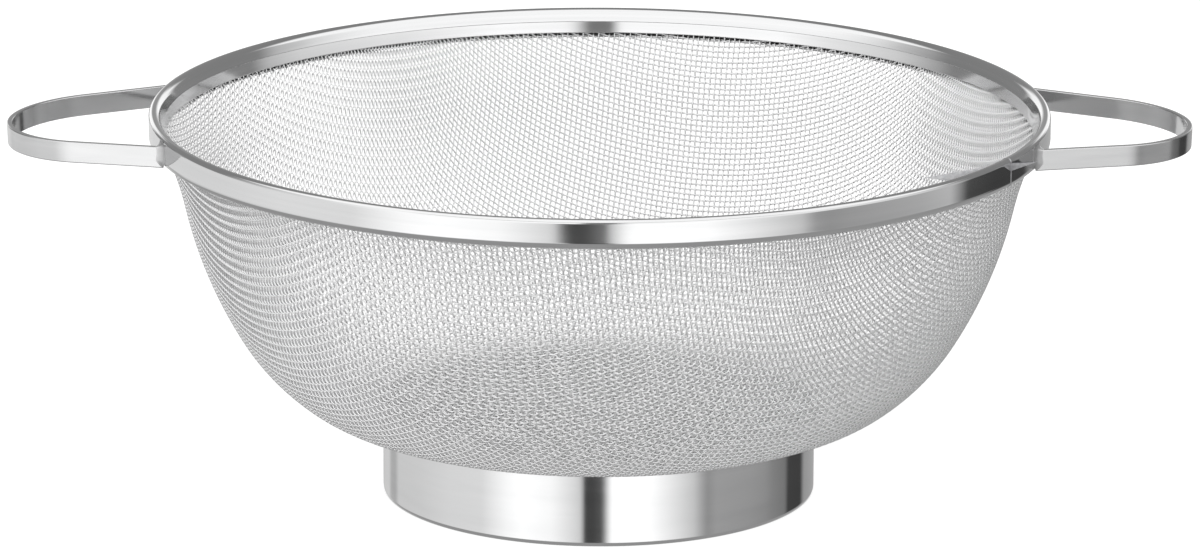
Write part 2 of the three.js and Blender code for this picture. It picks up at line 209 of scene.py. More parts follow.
flange_radius, _, foot_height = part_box("foot_ring")[1]
foot_radius = flange_radius - FOOT_FLANGE
flange_underside = foot_height - FOOT_SHEET
edge_reach = EDGE_BULGE * FOOT_SHEET
flange_corner = (foot_radius + FOOT_FLANGE_CORNER, flange_underside - FOOT_FLANGE_CORNER)
foot_face = np.vstack([
    [(foot_radius - FOOT_LIP + edge_reach, 0)],
    arc((foot_radius - FOOT_LIP_CORNER, FOOT_LIP_CORNER), FOOT_LIP_CORNER, -90, 0),
    arc(flange_corner, FOOT_FLANGE_CORNER, 180, 90),
    [(flange_radius - edge_reach, flange_underside)],
])
foot_section = sheet_section(foot_face, FOOT_SHEET)
foot_angles = np.linspace(0, 2 * np.pi, FOOT_POINTS_AROUND, endpoint=False)
polished_steel = metal(
    "polished_steel", STEEL_SHADES, STEEL_ROUGHNESS, scale=(6, 160, 1), detail=4, bump=(0.03, 0.02 * MM),
)
add_piece(
    "foot_band", hoop(foot_section, foot_angles).reshape(-1, 3),
    *skin(FOOT_POINTS_AROUND, len(foot_section), joined=True), polished_steel, "polished_steel", "foot_ring",
)

# Spot welds: flat nuggets of weld metal in a ring, which hold the bowl's base down on the foot's flange.
# They are pressed between the two, so the CAD solids show only as dull grey specks through the mesh.
WELD_SHADES = ((0.36, 0.36, 0.37, 1), (0.54, 0.54, 0.55, 1))
WELD_ROUGHNESS = (0.28, 0.5)
weld_metal = metal(
    "weld_metal", WELD_SHADES, WELD_ROUGHNESS, scale=(900, 900, 900), detail=3, bump=(0.35, 0.1 * MM),
    grain=None,
)
for name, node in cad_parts.items():
    if name.startswith("foot_spot_weld"):
        node.data.materials.clear()
        node.data.materials.append(weld_metal)

# Mesh bowl: one blank of plain-woven stainless wire, pressed into a bowl with a flat base and a flared
# edge. Wires bend and shear over each other but keep their length, so the weave stays square along its
# own two axes and closes to long diamonds in the four quarters between them.
MESH_THICKNESS = 0.85 * MM
WIRE_DIAMETER = MESH_THICKNESS / 2
WEAVE_PITCH = 1.5 * MM
WEAVE_TURN = np.radians(-16)
BOWL_ARCS = ((34.7 * MM, 36.5), (58.0 * MM, 58.5), (116.0 * MM, 77.5))
FLARE_RADIUS = 80.0 * MM
FLARE_HEIGHT = 21.2 * MM
WEAVE_MARGIN = 3.0 * MM
WIRE_SIDES = 4
WIRE_GROUPS = 4
WIRE_SHADES = ((0.81, 0.81, 0.815, 1), (0.89, 0.89, 0.892, 1))
WIRE_ROUGHNESS = (0.34, 0.46)
BOWL_ARC_STEPS = 200
BOWL_SAMPLES = 4000
NEWTON_STEPS = 4
LEAST_AREA = 1e-15
LEAST_LENGTH = 1e-12


def bowl_line():
    """The bowl's middle line in (radius, height): flat base, and arcs that go on from each other.

    The last arc, the flare, bends the other way, so its radius is negative. It runs a margin past the mesh's
    edge.
    """
    inset = MESH_THICKNESS / 2
    start = np.array([flange_radius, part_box("mesh_bowl")[0][2] + inset])
    line, slope = [[(0, start[1]), start]], 0.0
    edge_slope = np.arccos(np.cos(np.radians(BOWL_ARCS[-1][1])) + FLARE_HEIGHT / FLARE_RADIUS)
    flare_end = np.degrees(edge_slope - WEAVE_MARGIN / FLARE_RADIUS)
    for radius, end_slope in (*BOWL_ARCS, (-FLARE_RADIUS, flare_end)):
        turn = np.radians(slope)
        centre = start + (radius - inset) * np.array([-np.sin(turn), np.cos(turn)])
        line.append(arc(centre, radius - inset, slope - 90, end_slope - 90, BOWL_ARC_STEPS)[1:])
        start, slope = line[-1][-1], end_slope
    return np.vstack(line)


corner_points = bowl_line()
corner_along = np.concatenate([[0], np.cumsum(np.linalg.norm(np.diff(corner_points, axis=0), axis=1))])
bowl_along = np.linspace(0, corner_along[-1], BOWL_SAMPLES)
bowl_radius = np.interp(bowl_along, corner_along, corner_points[:, 0])
bowl_height = np.interp(bowl_along, corner_along, corner_points[:, 1])
bowl_out, bowl_up = np.gradient(bowl_radius, bowl_along), np.gradient(bowl_height, bowl_along)
mesh_edge = bowl_along[-1] - WEAVE_MARGIN


def on_bowl(along, azimuth):
    """Points on the bowl's middle surface, from the distance along its line and the azimuth."""
    r, z = np.interp(along, bowl_along, bowl_radius), np.interp(along, bowl_along, bowl_height)
    return np.stack([r * np.cos(azimuth), r * np.sin(azimuth), z], axis=-1)


def weave_quarter(count):
    """Crossings of a quarter of the weave, as distances along the bowl's line and azimuths.

    The first wire of each set lies on a meridian. Every other crossing is one pitch from the crossing before
    it on both of its wires, so it lies where two spheres meet the surface. A diagonal row of crossings is
    solved at once, with Newton's steps on distance and azimuth from the corner of a parallelogram.
    """
    along = np.full((count, count), np.nan)
    azimuth = np.full((count, count), np.nan)
    along[0], along[:, 0] = (np.arange(count) * WEAVE_PITCH,) * 2
    azimuth[0], azimuth[:, 0] = np.pi / 2, 0
    point = on_bowl(along, azimuth)
    for diagonal in range(2, 2 * count - 1):
        i = np.arange(max(1, diagonal - count + 1), min(count, diagonal))
        j = diagonal - i
        a, b = point[i - 1, j], point[i, j - 1]
        guess = a + b - point[i - 1, j - 1]
        t = np.arctan2(guess[:, 1], guess[:, 0])
        guess_radius = np.hypot(guess[:, 0], guess[:, 1])
        s = np.interp(guess_radius + guess[:, 2], bowl_radius + bowl_height, bowl_along)
        for _ in range(NEWTON_STEPS):
            p = on_bowl(s, t)
            out, up = np.interp(s, bowl_along, bowl_out), np.interp(s, bowl_along, bowl_up)
            by_s = np.stack([out * np.cos(t), out * np.sin(t), up], axis=-1)
            by_t = np.stack([-p[:, 1], p[:, 0], 0 * t], axis=-1)
            a_error = (np.sum((p - a) ** 2, axis=-1) - WEAVE_PITCH ** 2) / 2
            b_error = (np.sum((p - b) ** 2, axis=-1) - WEAVE_PITCH ** 2) / 2
            a_s, a_t = np.sum((p - a) * by_s, axis=-1), np.sum((p - a) * by_t, axis=-1)
            b_s, b_t = np.sum((p - b) * by_s, axis=-1), np.sum((p - b) * by_t, axis=-1)
            slack = a_s * b_t - a_t * b_s
            slack[np.abs(slack) < LEAST_AREA] = np.nan
            s = s - (a_error * b_t - b_error * a_t) / slack
            t = t - (a_s * b_error - b_s * a_error) / slack
        s[s > bowl_along[-1]] = np.nan
        along[i, j], azimuth[i, j], point[i, j] = s, t, on_bowl(s, t)
    return along, azimuth


def whole_weave():
    """All crossings: the quarter, and the same quarter turned by one, two and three right angles."""
    count = int(bowl_along[-1] / WEAVE_PITCH)
    along, azimuth = weave_quarter(count)
    whole_along = np.full((2 * count - 1,) * 2, np.nan)
    whole_azimuth = whole_along.copy()
    for turns in range(4):
        spread, turned = np.rot90(whole_along, turns), np.rot90(whole_azimuth, turns)
        spread[count - 1:, count - 1:] = along
        turned[count - 1:, count - 1:] = azimuth - turns * np.pi / 2
    return whole_along, whole_azimuth + WEAVE_TURN


def between(values):
    """Values a quarter and three quarters of the way from each crossing of a wire to its next one."""
    start, end = values[:, :-1], values[:, 1:]
    pair = np.stack([0.75 * start + 0.25 * end, 0.25 * start + 0.75 * end], axis=2)
    return pair.reshape(len(values), -1, *values.shape[2:])


def wire_middles(along, azimuth, over):
    """Middles of the rings that a wire's tube runs through, the surface's normals there, and the rings used.

    Two rings lie between a crossing and the next, each lifted along the normal by half a wire, up where over
    is positive. Where a wire passes the mesh's cut edge, the first ring past it is moved back onto the edge.
    """
    out, up = np.interp(along, bowl_along, bowl_out), np.interp(along, bowl_along, bowl_up)
    normal = np.stack([-up * np.cos(azimuth), -up * np.sin(azimuth), out], axis=-1)
    lift = np.repeat(over, 2, axis=1)[:, 1:-1, None] * WIRE_DIAMETER / 2
    distance, square = between(along), between(normal)
    middle = between(on_bowl(along, azimuth)) + lift * square
    inside = distance <= mesh_edge
    leaving, entering = inside[:, :-1] & ~inside[:, 1:], ~inside[:, :-1] & inside[:, 1:]
    climb = np.where(leaving | entering, np.diff(distance, axis=1), 1)
    share = ((mesh_edge - distance[:, :-1]) / climb)[..., None]
    cut = middle[:, :-1] + share * np.diff(middle, axis=1)
    middle[:, 1:][leaving], middle[:, :-1][entering] = cut[leaving], cut[entering]
    used = inside.copy()
    used[:, 1:] |= leaving
    used[:, :-1] |= entering
    return np.nan_to_num(middle), np.nan_to_num(square), used


def wire_rings(middle, square, used):
    """Corners of the rings: middle plus radius times (cos a times raised plus sin a times side).

    Both directions are square to the wire, which runs along the mean of the steps before and after a ring.
    The radius is swelled, so that a tube of few sides has the girth of the round wire.
    """
    step = np.where((used[:, :-1] & used[:, 1:])[..., None], np.diff(middle, axis=1), 0)
    tangent = np.zeros_like(middle)
    tangent[:, :-1] += step
    tangent[:, 1:] += step
    tangent /= np.maximum(np.linalg.norm(tangent, axis=-1, keepdims=True), LEAST_LENGTH)
    side = np.cross(square, tangent)
    side /= np.maximum(np.linalg.norm(side, axis=-1, keepdims=True), LEAST_LENGTH)
    raised = np.cross(tangent, side)
    turn = 2 * np.pi * np.arange(WIRE_SIDES)[:, None] / WIRE_SIDES
    swell = np.pi / WIRE_SIDES / np.sin(np.pi / WIRE_SIDES)
    radius = WIRE_DIAMETER / 2 * swell
    spoke = np.cos(turn) * raised[:, :, None] + np.sin(turn) * side[:, :, None]
    return middle[:, :, None] + radius * spoke


def wire_faces(used):
    """Faces from each used ring to the next, a cap at both ends of a wire, and their corners' places.

    Places go along a wire one way, and round each wire and on to the next one the other way. A ring has four
    corners, so a cap is one face.
    """
    wires, rings = used.shape
    wire, ring = np.nonzero(used[:, :-1] & used[:, 1:])
    corner = np.arange(WIRE_SIDES)
    after = (corner + 1) % WIRE_SIDES
    first = (wire * rings + ring)[:, None] * WIRE_SIDES
    second = first + WIRE_SIDES
    tube = np.stack([first + corner, second + corner, second + after, first + after], axis=-1)
    u, v = (ring / rings)[:, None] + 0 * corner, (wire[:, None] + corner / WIRE_SIDES) / wires
    du, dv = 1 / rings, 1 / WIRE_SIDES / wires
    tube_places = np.stack([
        np.stack([u, u + du, u + du, u], axis=-1), np.stack([v, v, v + dv, v + dv], axis=-1),
    ], axis=-1)
    start_wire, start_ring = np.nonzero(used & ~np.pad(used, ((0, 0), (1, 0)))[:, :-1])
    end_wire, end_ring = np.nonzero(used & ~np.pad(used, ((0, 0), (0, 1)))[:, 1:])
    caps = np.vstack([
        (start_wire * rings + start_ring)[:, None] * WIRE_SIDES + corner[::-1],
        (end_wire * rings + end_ring)[:, None] * WIRE_SIDES + corner,
    ])
    cap_u = np.concatenate([start_ring, end_ring])[:, None] / rings + du * np.array([0, 0, 1, 1])
    cap_v = np.concatenate([start_wire, end_wire])[:, None] / wires + dv * np.array([0, 1, 1, 0])
    places = np.vstack([tube_places.reshape(-1, 4, 2), np.stack([cap_u, cap_v], axis=-1)])
    return np.vstack([tube.reshape(-1, 4), caps]), places


def woven_wires(along, azimuth, over):
    """Tubes along the rows of crossings: the points that a face uses, the faces and their places."""
    middle, square, used = wire_middles(along, azimuth, over)
    faces, places = wire_faces(used)
    kept, faces = np.unique(faces, return_inverse=True)
    return wire_rings(middle, square, used).reshape(-1, 3)[kept], faces.reshape(-1, 4), places


drawn_wire = metal(
    "drawn_wire", WIRE_SHADES, WIRE_ROUGHNESS, scale=(40, 400, 1), detail=2, bump=(0.05, 0.02 * MM),
)
crossing_along, crossing_azimuth = whole_weave()
over_under = 1 - 2 * (np.indices(crossing_along.shape).sum(axis=0) % 2)
for name, along, azimuth, over in (
    ("mesh_warp", crossing_along, crossing_azimuth, over_under),
    ("mesh_weft", crossing_along.T, crossing_azimuth.T, -over_under.T),
):
    for group, rows in enumerate(np.array_split(np.arange(len(along)), WIRE_GROUPS)):
        add_piece(
            f"{name}_{group + 1}", *woven_wires(along[rows], azimuth[rows], over[rows]),
            drawn_wire, "wire_mesh", "mesh_bowl", sharp=None,
        )

# Core wire: a hoop of thicker wire that the rim strip is folded round. It lies closed in the rim's channel,
# so its CAD solid stays and only takes the finish of drawn wire.
CORE_ROUGHNESS = (0.25, 0.4)
core_steel = metal(
    "core_steel", WIRE_SHADES, CORE_ROUGHNESS, scale=(120, 120, 900), detail=2, bump=(0.05, 0.02 * MM),
    grain=None,
)
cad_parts["rim_core_wire"].data.materials.clear()
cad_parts["rim_core_wire"].data.materials.append(core_steel)

# Rim band: one polished strip folded over the mesh's edge. Its outer wall has a rounded lower edge and a
# bottom lip outside the mesh. Its top goes over the core wire, and a creased leg presses the mesh from
# inside, with a fine step under the crease. The strip's back, inside the fold, is not polished.
RIM_SHEET = 0.6 * MM
RIM_LOWER_CORNER = 1.9 * MM
RIM_UPPER_CORNER = 1.1 * MM
RIM_ROLL_RADIUS = 2.2 * MM
RIM_INNER_SLOPE = 65
RIM_CREASE_DROP = 3.25 * MM
RIM_CREASE_STEP = 0.15 * MM
RIM_INSIDE_ROUGHNESS = 0.5
RIM_LEG_DROP = 6.15 * MM
MESH_CLEARANCE = 0.3 * MM
SEAM_ANGLE = np.radians(-27)
SEAM_WIDTH = 0.6 * MM
RIM_POINTS_AROUND = 400

rim_low, rim_high = (np.array(corner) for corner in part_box("rim_band"))
rim_radius = min(np.abs([*rim_low[:2], *rim_high[:2]]))
rim_bottom, rim_top = rim_low[2], rim_high[2]


def wall_radius(height, inset):
    """Radius of the bowl's wall at a height, on the face that lies inset from its outside."""
    face = left_of(corner_points, inset - MESH_THICKNESS / 2)
    return np.interp(height, face[:, 1], face[:, 0])


inner_leg_inset = MESH_THICKNESS + MESH_CLEARANCE + RIM_SHEET
inner_leg_end = rim_top - RIM_LEG_DROP
crease_height = rim_top - RIM_CREASE_DROP
rim_roll = arc(
    (rim_radius - RIM_UPPER_CORNER, rim_top - RIM_ROLL_RADIUS), RIM_ROLL_RADIUS, 90, 90 + RIM_INNER_SLOPE,
    steps=14,
)
slope_drop = rim_roll[-1, 1] - crease_height
crease = np.array([rim_roll[-1, 0] - slope_drop / np.tan(np.radians(RIM_INNER_SLOPE)), crease_height])
leg_end = np.array([wall_radius(inner_leg_end, inner_leg_inset), inner_leg_end])
leg_step = RIM_CREASE_STEP * np.array([1, -1])
rim_face = np.vstack([
    [(wall_radius(rim_bottom + RIM_SHEET, 0) + MESH_CLEARANCE, rim_bottom)],
    arc((rim_radius - RIM_LOWER_CORNER, rim_bottom + RIM_LOWER_CORNER), RIM_LOWER_CORNER, -90, 0, steps=11),
    arc((rim_radius - RIM_UPPER_CORNER, rim_top - RIM_UPPER_CORNER), RIM_UPPER_CORNER, 0, 90, steps=9),
    rim_roll[1:],
    crease, crease + leg_step, leg_end + leg_step,
])
rim_section = sheet_section(rim_face, RIM_SHEET)
seam_half = SEAM_WIDTH / 2 / rim_radius
rim_angles = np.linspace(SEAM_ANGLE + seam_half, SEAM_ANGLE + 2 * np.pi - seam_half, RIM_POINTS_AROUND)
# The strip's inside is the second half of its section's points, apart from those of the cut edges.
rim_inside = (0.5 + 2 / len(rim_section), 1 - 3 / len(rim_section), RIM_INSIDE_ROUGHNESS)
rim_steel = metal(
    "rim_steel", STEEL_SHADES, STEEL_ROUGHNESS, scale=(6, 160, 1), detail=4, bump=(0.03, 0.02 * MM),
    dull=rim_inside,
)
add_piece(
    "rim_strip", hoop(rim_section, rim_angles).reshape(-1, 3),
    *skin(RIM_POINTS_AROUND, len(rim_section), joined=False), rim_steel, "polished_steel", "rim_band",
)

# Rim seam: the butt weld where the two ends of the strip meet, a little in front of the right handle. It is
# weld metal, ground back to a low grey bead that follows the strip's section all the way round.
SEAM_CROWN = 0.1 * MM
SEAM_FALL = 1.5
SEAM_OVERLAP = 1.5
SEAM_ROWS = 7


def seam_row(across):
    """The strip's section at one place across the bead, raised by a parabola that falls from the crown.

    The parabola ends below the strip's faces, and what rises past the rim's top or bottom is cut level.
    """
    outline = np.vstack([rim_section[-1:], rim_section, rim_section[:1]])
    raised = left_of(outline, -SEAM_CROWN * (1 - SEAM_FALL * across ** 2))[1:-1]
    raised[:, 1] = np.clip(raised[:, 1], rim_bottom, rim_top)
    return hoop(raised, [SEAM_ANGLE + SEAM_OVERLAP * seam_half * across])


seam_rows = np.concatenate([seam_row(across) for across in np.linspace(-1, 1, SEAM_ROWS)])
add_piece(
    "rim_seam_bead", seam_rows.reshape(-1, 3), *skin(SEAM_ROWS, len(rim_section), joined=False),
    weld_metal, "weld", "rim_seam_weld",
)

# Handles: a flat polished bar on edge, bent to a round end with two straight legs that spread towards the
# rim. The loop droops a little; the legs' ends are shaped to the rim's wall and welded to it.
BAR_HEIGHT = 5.6 * MM
BAR_THICKNESS = 1.5 * MM
BAR_EDGE = 0.25 * MM
HANDLE_REACH = 37.8 * MM
HANDLE_END_RADIUS = 28.85 * MM
HANDLE_LEG_SPREAD = np.radians(19.9)
HANDLE_DROOP = np.radians(2)
# The handles' tones are the polished steel's made darker: painted shade for the dimmer light the handles
# mirror.
HANDLE_SHADED_TONES = ((0.5, 0.502, 0.505, 1), (0.545, 0.546, 0.548, 1))
HANDLE_ROUGHNESS = (0.1, 0.18)
LEG_SINK = 0.2 * MM
LEG_STEPS = 12
LOOP_STEPS = 72

bar_middle = rim_bottom + BAR_HEIGHT / 2
loop_radius = HANDLE_END_RADIUS - BAR_THICKNESS / 2
loop_centre = rim_radius + HANDLE_REACH - HANDLE_END_RADIUS
loop_sweep = np.pi / 2 - HANDLE_LEG_SPREAD
leg_direction = np.array([np.cos(HANDLE_LEG_SPREAD), np.sin(HANDLE_LEG_SPREAD)])
leg_tangent = np.array([loop_centre + loop_radius * np.cos(loop_sweep), -loop_radius * np.sin(loop_sweep)])


def along_to_wall(points, direction, radius):
    """Points moved back along a level direction until they are at a radius from the Z axis."""
    along = points[..., :2] @ direction
    spare = np.sum(points[..., :2] ** 2, axis=-1) - radius ** 2
    back = along - np.sqrt(along ** 2 - spare)
    moved = points.copy()
    moved[..., :2] -= back[..., None] * direction
    return moved


leg_foot = along_to_wall(leg_tangent, leg_direction, rim_radius)


def drooped(points):
    """Points turned down by the droop, about a level line along Y through the middles of the legs' feet."""
    out, up = points[..., 0] - leg_foot[0], points[..., 2] - bar_middle
    turned = points.copy()
    turned[..., 0] = leg_foot[0] + out * np.cos(HANDLE_DROOP) + up * np.sin(HANDLE_DROOP)
    turned[..., 2] = bar_middle - out * np.sin(HANDLE_DROOP) + up * np.cos(HANDLE_DROOP)
    return turned


edge_across, edge_up = BAR_THICKNESS / 2 - BAR_EDGE, BAR_HEIGHT / 2 - BAR_EDGE
bar_section = np.vstack([
    arc((across * edge_across, up * edge_up), BAR_EDGE, start, start + 90, steps=6)
    for across, up, start in ((1, -1, -90), (1, 1, 0), (-1, 1, 90), (-1, -1, 180))
])
bar_section = held(np.vstack([bar_section, bar_section[:1]]))[:-1]
turn = np.linspace(-loop_sweep, loop_sweep, LOOP_STEPS)
loop_line = np.stack([loop_centre + loop_radius * np.cos(turn), loop_radius * np.sin(turn)], axis=1)
loop_outwards = np.stack([np.cos(turn), np.sin(turn)], axis=1)
leg_share = np.linspace(0, 1, LEG_STEPS, endpoint=False)[:, None]
front_leg = leg_foot + leg_share * (leg_tangent - leg_foot)
rear_leg = front_leg[::-1] * (1, -1)
bar_line = np.vstack([front_leg, loop_line, rear_leg])
front_outwards, rear_outwards = (np.repeat(loop_outwards[k:][:1], LEG_STEPS, axis=0) for k in (0, -1))
bar_outwards = np.vstack([front_outwards, loop_outwards, rear_outwards])
bar = np.empty((len(bar_line), len(bar_section), 3))
bar[..., :2] = bar_line[:, None] + bar_section[:, 0, None] * bar_outwards[:, None]
bar[..., 2] = bar_middle + bar_section[:, 1]
bar = drooped(bar)
bar[0] = along_to_wall(bar[0], leg_direction, rim_radius - LEG_SINK)
bar[-1] = along_to_wall(bar[-1], leg_direction * (1, -1), rim_radius - LEG_SINK)
# Painted shade: a darker copy of the polished steel, a little rougher too.
shaded_handle_steel = metal(
    "shaded_handle_steel", HANDLE_SHADED_TONES, HANDLE_ROUGHNESS, scale=(6, 60, 1), detail=4, bump=(0.03, 0.02 * MM),
)
for side, way in (("left", -1), ("right", 1)):
    add_piece(
        f"handle_{side}_bar", (bar * (way, way, 1)).reshape(-1, 3),
        *skin(*bar.shape[:2], joined=False), shaded_handle_steel, "polished_steel", f"handle_{side}",
    )

# Handle welds: a fillet of weld metal in the corner between the rim's wall and a leg's end, up one side of
# the leg, over its top and down the other side. It is dressed smooth, so it shows as a soft grey corner.
FILLET_ON_WALL = 1.8 * MM
FILLET_ON_LEG = 1.8 * MM
FILLET_SIDE_FILL = 0.1
FILLET_TOP_FILL = 0.5
FILLET_RIPPLE = 0.05
FILLET_FAST_WAVE = 8 * np.pi
FILLET_SLOW_WAVE = 9.0
FILLET_SLOW_SHARE = 0.6
FILLET_PHASE = 1.7
FILLET_RUN_OUT = 0.125
FILLET_LEAST = 0.02
FILLET_SINK = 0.1 * MM
FILLET_FOOT_RISE = 0.3 * MM
FILLET_SIDE_STEPS = 16
FILLET_STEPS_ACROSS = 11
DRESSED_SHADES = ((0.5, 0.502, 0.505, 1), (0.6, 0.601, 0.603, 1))
DRESSED_ROUGHNESS = (0.28, 0.42)


def leg_outline():
    """A leg's end as (sideways, up) from its middle: up one side, over the top and down the other side."""
    half, top = BAR_THICKNESS / 2, BAR_HEIGHT / 2
    climb = np.linspace(FILLET_FOOT_RISE - top, top - BAR_EDGE, FILLET_SIDE_STEPS, endpoint=False)
    rising = np.column_stack([np.full(FILLET_SIDE_STEPS, -half), climb])
    return np.vstack([
        rising, arc((BAR_EDGE - half, top - BAR_EDGE), BAR_EDGE, 180, 90),
        arc((half - BAR_EDGE, top - BAR_EDGE), BAR_EDGE, 90, 0), rising[::-1] * (-1, 1),
    ])


def weld_fillet(direction, phase):
    """A hollow fillet along the line where a leg's outline meets the rim's wall, open at the leg's bottom.

    Across the line it is a quadratic curve from the leg to the wall, pulled towards the corner. Its two
    widths ripple as a sum of two sines and run out at both ends. One more point sinks into the corner.
    """
    outline = leg_outline()
    run = np.concatenate([[0], np.cumsum(np.linalg.norm(np.diff(outline, axis=0), axis=1))])
    share = run / run[-1]
    tangent = np.gradient(outline, axis=0)
    tangent /= np.linalg.norm(tangent, axis=1, keepdims=True)
    outwards = np.column_stack([-tangent[:, 1], tangent[:, 0]])
    ripple = np.sin(FILLET_FAST_WAVE * share + phase)
    ripple += FILLET_SLOW_SHARE * np.sin(FILLET_SLOW_WAVE * share + 2 * phase)
    ends = np.sqrt(np.clip(np.minimum(share, 1 - share) / FILLET_RUN_OUT, FILLET_LEAST, 1))
    size = (ends * (1 + FILLET_RIPPLE * ripple))[:, None]
    sideways = np.array([-direction[1], direction[0]])

    def on_wall(places):
        """Places on the leg's end as points, drooped with the loop and moved along the leg to the wall."""
        points = np.empty((len(places), 3))
        points[:, :2] = leg_foot * (1, np.sign(direction[1])) + places[:, :1] * sideways
        points[:, 2] = bar_middle + places[:, 1]
        return along_to_wall(drooped(points), direction, rim_radius)

    fall = direction[0] * np.array([np.cos(HANDLE_DROOP), np.sin(HANDLE_DROOP)])
    along_leg = np.array([fall[0], direction[1], -fall[1]])
    corner = on_wall(outline)
    sunk = on_wall(outline - FILLET_SINK * outwards) - FILLET_SINK * along_leg
    wall_edge = on_wall(outline + FILLET_ON_WALL * size * outwards)
    leg_edge = corner + FILLET_ON_LEG * size * along_leg
    fill = FILLET_SIDE_FILL + (FILLET_TOP_FILL - FILLET_SIDE_FILL) * outwards[:, 1:] ** 2
    pull = corner + fill * ((wall_edge + leg_edge) / 2 - corner)
    t = np.linspace(0, 1, FILLET_STEPS_ACROSS)[:, None]
    curve = (1 - t) ** 2 * leg_edge[:, None] + 2 * t * (1 - t) * pull[:, None] + t ** 2 * wall_edge[:, None]
    return np.concatenate([curve, sunk[:, None]], axis=1)


dressed_weld = metal(
    "dressed_weld", DRESSED_SHADES, DRESSED_ROUGHNESS, scale=(500, 500, 500), detail=3,
    bump=(0.2, 0.05 * MM), grain=None,
)
leg_ends = [(side, end) for side in ("left", "right") for end in ("front", "rear")]
for index, (side, end) in enumerate(leg_ends):
    way = 1 if side == "right" else -1
    towards = -way if end == "front" else way
    fillet = weld_fillet(leg_direction * (1, -towards), FILLET_PHASE * index) * (way, way, 1)
    add_piece(
        f"weld_{side}_{end}", fillet.reshape(-1, 3), *skin(*fillet.shape[:2], joined=False),
        dressed_weld, "weld", f"handle_weld_{side}_{end}",
    )

# Stage: a plain pale floor that the strainer stands on, with a dark sheet of painted shade inside the foot,
# and the photograph's long lens a little above it. None of this is part of the object.
FLOOR_HALF = 4.0
FLOOR_SHADE = 0.3
FLOOR_GLOW = 0.85
FLOOR_CLOUDS = 0.02
FLOOR_CLOUD_SCALE = 3.0
FLOOR_ROUGHNESS = 0.9
FLOOR_DROP = 0.02 * MM
PAINTED_SHADE_GREY = 0.2
SHADED_DROP = 0.01 * MM
SHADED_CORNERS = 64
FOOT_SHADE = (foot_radius - FOOT_SHEET, foot_radius)
CAMERA_DISTANCE = 2.098
CAMERA_ELEVATION = np.radians(15.09)
CAMERA_AIM = np.array([0, 0, 0.0505])
CAMERA_LENS = 235.05
CAMERA_SHIFT = (0.00075, 0.02158)
CAMERA_ROLL = np.radians(0.195)
CAMERA_FAR = 20


def pale_floor(glow, shade):
    """Matt pale floor whose faint cloudiness comes from noise.

    Part of its light is its own, so shadows stay soft. That part grows from nothing to all of glow under the
    foot's wall, because the floor inside the foot gets only what falls through the mesh.
    """
    material = bpy.data.materials.new("pale_floor")
    material.use_nodes = True
    tree = material.node_tree
    shader = tree.nodes["Principled BSDF"]
    shader.inputs["Roughness"].default_value = FLOOR_ROUGHNESS
    shader.inputs["Specular IOR Level"].default_value = 0.0
    shader.inputs["Emission Color"].default_value = (1, 1, 1, 1)
    place = tree.nodes.new("ShaderNodeTexCoord").outputs["Object"]
    distance = tree.nodes.new("ShaderNodeVectorMath")
    distance.operation = "LENGTH"
    fade = tree.nodes.new("ShaderNodeMapRange")
    fade.inputs["From Min"].default_value, fade.inputs["From Max"].default_value = FOOT_SHADE
    fade.inputs["To Min"].default_value, fade.inputs["To Max"].default_value = 0, glow
    noise = tree.nodes.new("ShaderNodeTexNoise")
    noise.inputs["Scale"].default_value = FLOOR_CLOUD_SCALE
    tone = tree.nodes.new("ShaderNodeMix")
    tone.data_type = "RGBA"
    for end, level in (("A", shade), ("B", shade + FLOOR_CLOUDS)):
        tone.inputs[end].default_value = (level, level, level, 1)
    tree.links.new(place, distance.inputs[0])
    tree.links.new(distance.outputs["Value"], fade.inputs["Value"])
    tree.links.new(fade.outputs["Result"], shader.inputs["Emission Strength"])
    tree.links.new(place, noise.inputs["Vector"])
    tree.links.new(noise.outputs["Fac"], tone.inputs["Factor"])
    tree.links.new(tone.outputs["Result"], shader.inputs["Base Color"])
    return material


def stage_sheet(name, outline, material):
    """A flat sheet on the floor's level with the given outline and material."""
    mesh = bpy.data.meshes.new(name)
    mesh.from_pydata(np.column_stack([outline, np.zeros(len(outline))]), [], [list(range(len(outline)))])
    mesh.materials.append(material)
    sheet = bpy.data.objects.new(name, mesh)
    bpy.context.scene.collection.objects.link(sheet)
    return sheet


floor_corners = FLOOR_HALF * np.array([(-1, -1), (1, -1), (1, 1), (-1, 1)])
floor = stage_sheet("floor", floor_corners, pale_floor(FLOOR_GLOW, FLOOR_SHADE))
floor.visible_glossy = False
floor.location.z = -FLOOR_DROP
# Painted shade: a darker grey sheet inside the foot's lip stands in for the shade there, and the wires above
# mirror it too.
shaded_turn = np.linspace(0, 2 * np.pi, SHADED_CORNERS, endpoint=False)
shaded_corners = (foot_radius - FOOT_LIP) * np.column_stack([np.cos(shaded_turn), np.sin(shaded_turn)])
painted_shade_sheet = stage_sheet("painted_shade_in_foot", shaded_corners, pale_floor(0, PAINTED_SHADE_GREY))
painted_shade_sheet.location.z = -SHADED_DROP

camera = bpy.data.objects.new("camera", bpy.data.cameras.new("camera"))
bpy.context.scene.collection.objects.link(camera)
bpy.context.scene.camera = camera
camera.data.lens = CAMERA_LENS
camera.data.shift_x, camera.data.shift_y = CAMERA_SHIFT
camera.data.clip_end = CAMERA_FAR
camera.location = CAMERA_AIM + CAMERA_DISTANCE * np.array(
    [0, -np.cos(CAMERA_ELEVATION), np.sin(CAMERA_ELEVATION)]
)
camera.rotation_euler = (np.pi / 2 - CAMERA_ELEVATION, 0, 0)
camera.rotation_euler.rotate_axis("Z", CAMERA_ROLL)

# Light: a white tent that is open at the back to a grey backdrop. Round the camera it has bright panels with
# dark gaps, in a ring that the foot mirrors, one that the rim and handles mirror, and one above them. A thin
# dark seam in front and a white roof lie over these, and a grey table under them.

